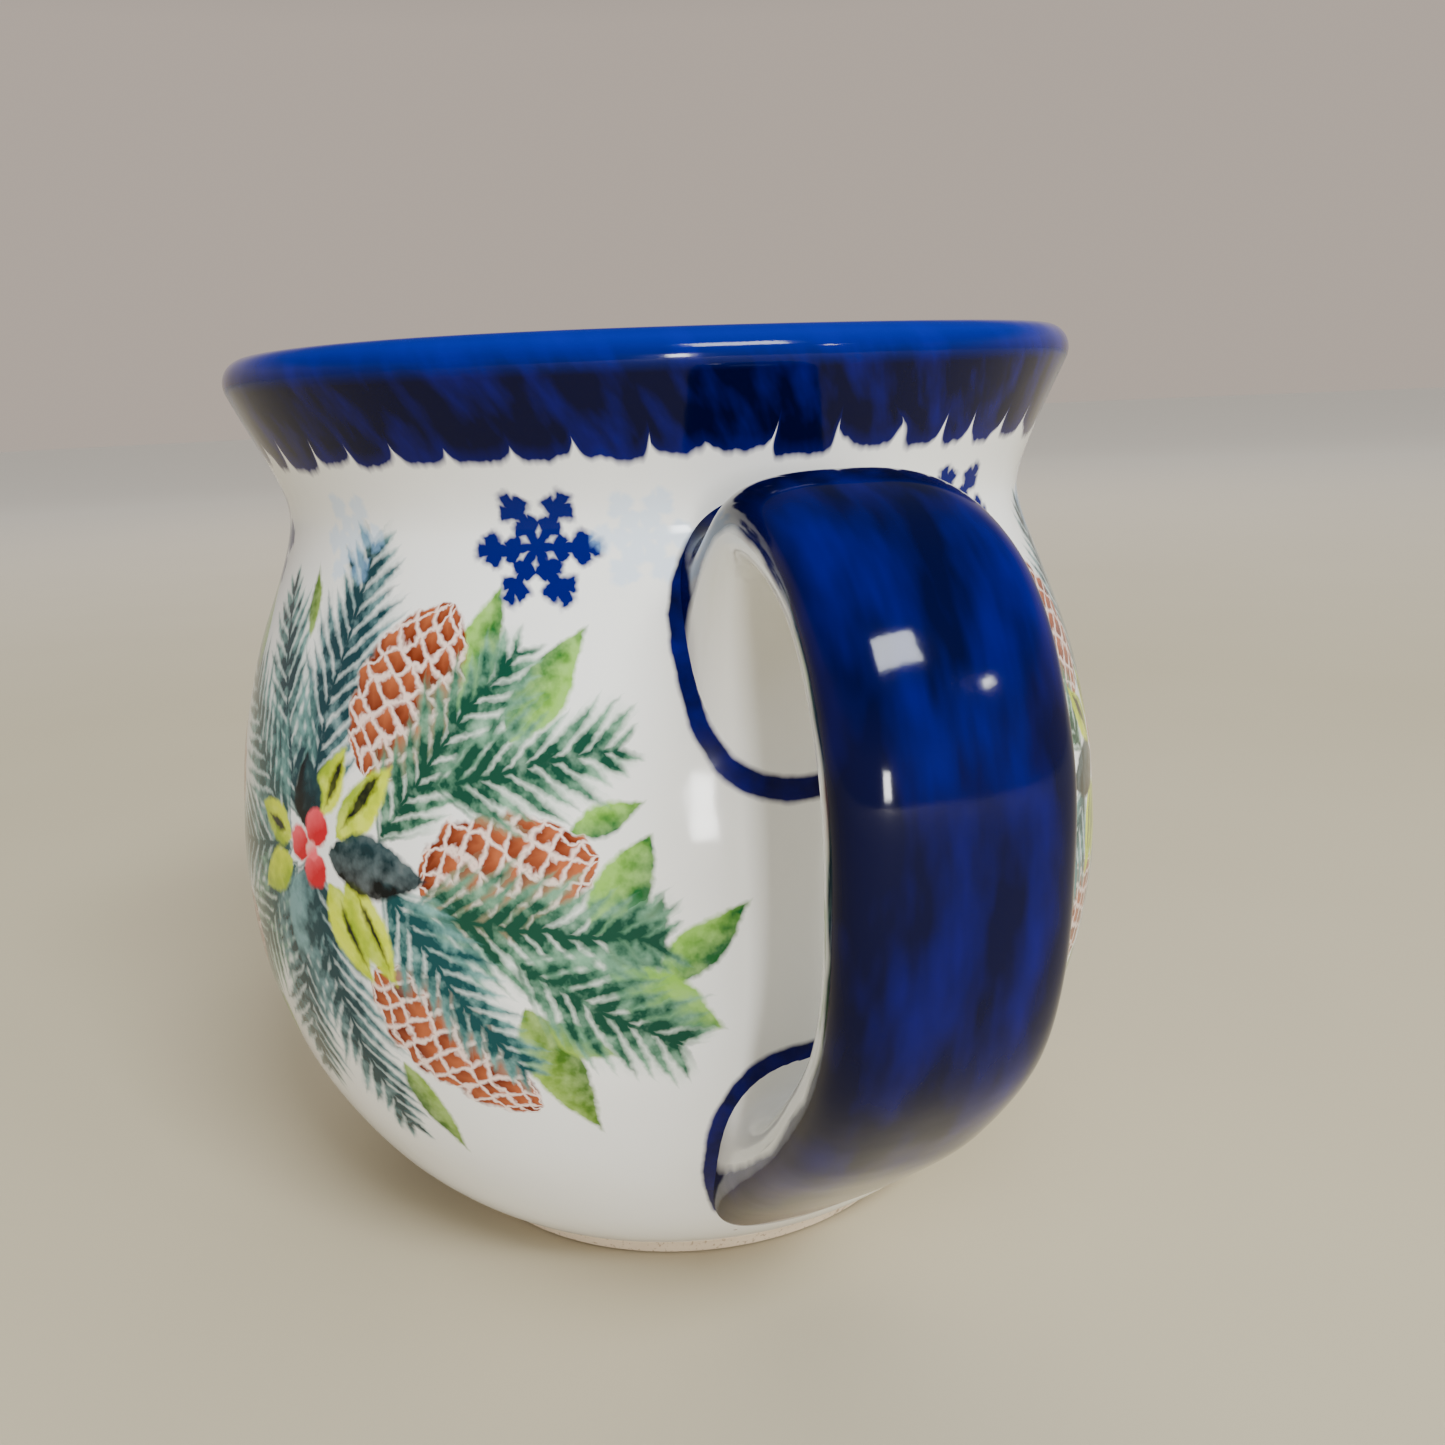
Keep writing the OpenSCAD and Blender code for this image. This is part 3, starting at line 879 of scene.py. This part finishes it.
end = len(SKIN) - 1
add_band("outer_glaze", 0, BAND_FROM, "outer_clear_glaze", painted_glaze, pick_tile)
add_band("rim_glaze", BAND_FROM, BAND_TO, "rim_cobalt_glaze", [plain_glaze])
add_band("lining_glaze", BAND_TO, end, "inner_clear_glaze", [plain_glaze])

# From the middle of the recess, round the foot ring with its worn edges, and along the skin under the glaze
BEVEL, ROUND = 0.5, 0.9
foot_inner, recess_top = FOOT_R - FOOT_W, RECESS + GLAZE
clay_outline = np.vstack([
    [(0, recess_top), (foot_inner - BEVEL, recess_top), (foot_inner, recess_top - BEVEL),
     (foot_inner, BEVEL), (foot_inner + BEVEL, 0.0),
     (FOOT_R - ROUND, 0.0), (FOOT_R - 0.2, 0.25), (FOOT_R, ROUND)],
    (SKIN + GLAZE*INTO)[:-1],
    [(0, FLOOR_Z - GLAZE)]])
points, faces, _ = turned(clay_outline)
add_piece("clay_bowl", points, faces, "stoneware_body", [clay], {})

base_edge = foot_inner - 0.1
base_outline = [(0, RECESS), (base_edge - BEVEL, RECESS), (base_edge, RECESS + GLAZE/2),
                (base_edge, recess_top), (0, recess_top)]
points, faces, _ = turned(base_outline)
add_piece("base_glaze", points, faces, "base_clear_glaze", [plain_glaze],
          {"run": np.full(len(points), RUN[end])})

whole_turn = np.linspace(0, 2*math.pi, SECTION, endpoint=False)
seam_angle = math.asin((-SEAM)**(STRAP_N/2))
cobalt_turn = np.linspace(-seam_angle, math.pi + seam_angle, COBALT_SIDES)
clear_turn = np.linspace(math.pi + seam_angle, 2*math.pi - seam_angle, CLEAR_SIDES)
add_clay("clay_strap", strap_rings(whole_turn, GLAZE), "handle_strap", clay)
add_clay("clay_upper_root", fillet_rings(whole_turn, GLAZE, True), "upper_handle_joint", clay)
add_clay("clay_lower_root", fillet_rings(whole_turn, GLAZE, False), "lower_handle_joint", clay)
add_coat("handle_blue_glaze", cobalt_turn, "handle_cobalt_glaze", strap_glaze)
add_coat("handle_white_glaze", clear_turn, "handle_clear_glaze", strap_glaze)

# ---------------------------------------------------------------- floor, lights and camera

FLOOR_SIDES, FLOOR_REACH = 64, 6.0
# The far floor colour is painted light: the paper is painted paler far from the mug, where the lamps light
# it less
FLOOR_LIGHT, FLOOR_DARK, FLOOR_FAR_PAINTED_LIGHT = srgb(186, 175, 149), srgb(178, 166, 140), srgb(232, 222, 208)
FAR_FROM, FAR_SOFT = 900.0, 1200.0      # where the floor turns paler, and over what length, in millimetres


def floor_paper_and_painted_light(g):
    """Matt paper, with painted light that makes it paler far away, where less light falls."""
    place = g.place_mm()
    shader = g.add("ShaderNodeBsdfPrincipled")
    near = g.mix(g.noise(place, 0.01), FLOOR_LIGHT, FLOOR_DARK)
    # Painted light: from FAR_FROM outwards the paper turns to the paler far colour
    far = g.vector("DISTANCE", place, (0.0, 0.0, 0.0)).above(FAR_FROM, FAR_SOFT)
    g.feed(shader.inputs["Base Color"], g.mix(far, near, FLOOR_FAR_PAINTED_LIGHT))
    shader.inputs["Roughness"].default_value = 0.8
    return shader


def soft_floor():
    """A wide round floor under the mug."""
    mesh = bpy.data.meshes.new("floor")
    turns = [2*math.pi*i/FLOOR_SIDES for i in range(FLOOR_SIDES)]
    rim = [(FLOOR_REACH*math.cos(turn), FLOOR_REACH*math.sin(turn), 0) for turn in turns]
    mesh.from_pydata(rim, [], [range(FLOOR_SIDES)])
    mesh.materials.append(material("floor_paper_and_painted_light", floor_paper_and_painted_light))
    floor = bpy.data.objects.new("floor", mesh)
    bpy.context.scene.collection.objects.link(floor)


LIGHT_DISTANCE, AIM_HEIGHT = 1.2, 0.05      # in metres
DAYLIGHT, FILL, LAMPLIGHT, SUN_LIGHT = (0.92, 0.97, 1), (0.95, 0.98, 1), (1, 0.95, 0.88), (0.94, 0.98, 1)


def add_light(name, kind, azimuth, elevation, colour, mirrored, **settings):
    """A light that looks at the mug from azimuth and elevation, in degrees, azimuth counted from the handle.

    A light that isn't mirrored only fills in, and the glaze shows no image of it."""
    data = bpy.data.lights.new(name, kind)
    data.color = colour
    for key, value in settings.items():
        setattr(data, key, value)
    lamp = bpy.data.objects.new(name, data)
    a, e = math.radians(azimuth), math.radians(elevation)
    target = Vector((0, 0, AIM_HEIGHT))
    way = Vector((math.cos(a)*math.cos(e), math.sin(a)*math.cos(e), math.sin(e)))
    lamp.location = target + LIGHT_DISTANCE*way
    lamp.rotation_euler = (target - lamp.location).to_track_quat("-Z", "Y").to_euler()
    lamp.visible_glossy = mirrored
    bpy.context.scene.collection.objects.link(lamp)


def soft_box(name, azimuth, elevation, width, height, watts, colour=(1, 1, 1), mirrored=True):
    """A rectangular light, width by height in metres."""
    add_light(name, "AREA", azimuth, elevation, colour, mirrored,
              shape="RECTANGLE", size=width, size_y=height, energy=watts)


SKY_LOW, SKY_HIGH = (0.54, 0.46, 0.395, 1), (0.12, 0.125, 0.135, 1)


def soft_sky():
    """A world that is pale and warm near the horizon, where the camera sees it, and dim overhead."""
    world = bpy.data.worlds.new("studio")
    world.use_nodes = True
    world.node_tree.nodes.clear()
    g = Graph(world.node_tree)
    way = g.add("ShaderNodeTexCoord").outputs["Generated"]
    height = g.split(Wire(g, way))[2].clamp()
    light = g.add("ShaderNodeBackground")
    g.feed(light.inputs["Color"], g.mix(height.above(0.36, 0.24), SKY_LOW, SKY_HIGH))
    leave = g.add("ShaderNodeOutputWorld")
    world.node_tree.links.new(light.outputs[0], leave.inputs["Surface"])
    bpy.context.scene.world = world


soft_floor()
soft_sky()
soft_box("window", 10, 41, 0.43, 0.24, 17, DAYLIGHT)
soft_box("side", -80, 45, 0.9, 0.8, 1.2, FILL, mirrored=False)
soft_box("back", 165, 45, 0.9, 0.8, 5, LAMPLIGHT, mirrored=False)
soft_box("doorway", -8, 6, 0.11, 0.22, 9)
soft_box("lamp", 33, 25, 0.05, 0.05, 0.7)
add_light("ceiling", "SUN", 25, 58, SUN_LIGHT, False, energy=1.8, angle=math.radians(75))

# The camera stands close, a little lower than the lip, 15 degrees to the side of the handle, and looks down
CAMERA_AZIMUTH = -14.8
CAMERA_DISTANCE, CAMERA_HEIGHT = 161.4, 93.0
CAMERA_YAW, CAMERA_PITCH, CAMERA_ROLL = 2.31, 13.63, 2.58
FOCAL_SHARE = 0.9323       # focal length over the frame's width

azimuth = math.radians(CAMERA_AZIMUTH)
ahead = math.radians(CAMERA_AZIMUTH + 180 - CAMERA_YAW)
ahead_flat = Vector((math.cos(ahead), math.sin(ahead), 0))
right = Vector((ahead_flat.y, -ahead_flat.x, 0))
pitch, roll = math.radians(CAMERA_PITCH), math.radians(CAMERA_ROLL)
forward = ahead_flat*math.cos(pitch) - Vector((0, 0, 1))*math.sin(pitch)
up = ahead_flat*math.sin(pitch) + Vector((0, 0, 1))*math.cos(pitch)
rolled_right = right*math.cos(roll) - up*math.sin(roll)
rolled_up = right*math.sin(roll) + up*math.cos(roll)
data = bpy.data.cameras.new("camera")
data.sensor_width = 36
data.lens = 36*FOCAL_SHARE
data.clip_start = 0.01
camera = bpy.data.objects.new("camera", data)
turn = Matrix((rolled_right, rolled_up, -forward)).transposed()
place = Vector((math.cos(azimuth)*CAMERA_DISTANCE, math.sin(azimuth)*CAMERA_DISTANCE, CAMERA_HEIGHT))*MM
camera.matrix_world = Matrix.Translation(place) @ turn.to_4x4()
bpy.context.scene.collection.objects.link(camera)
bpy.context.scene.camera = camera
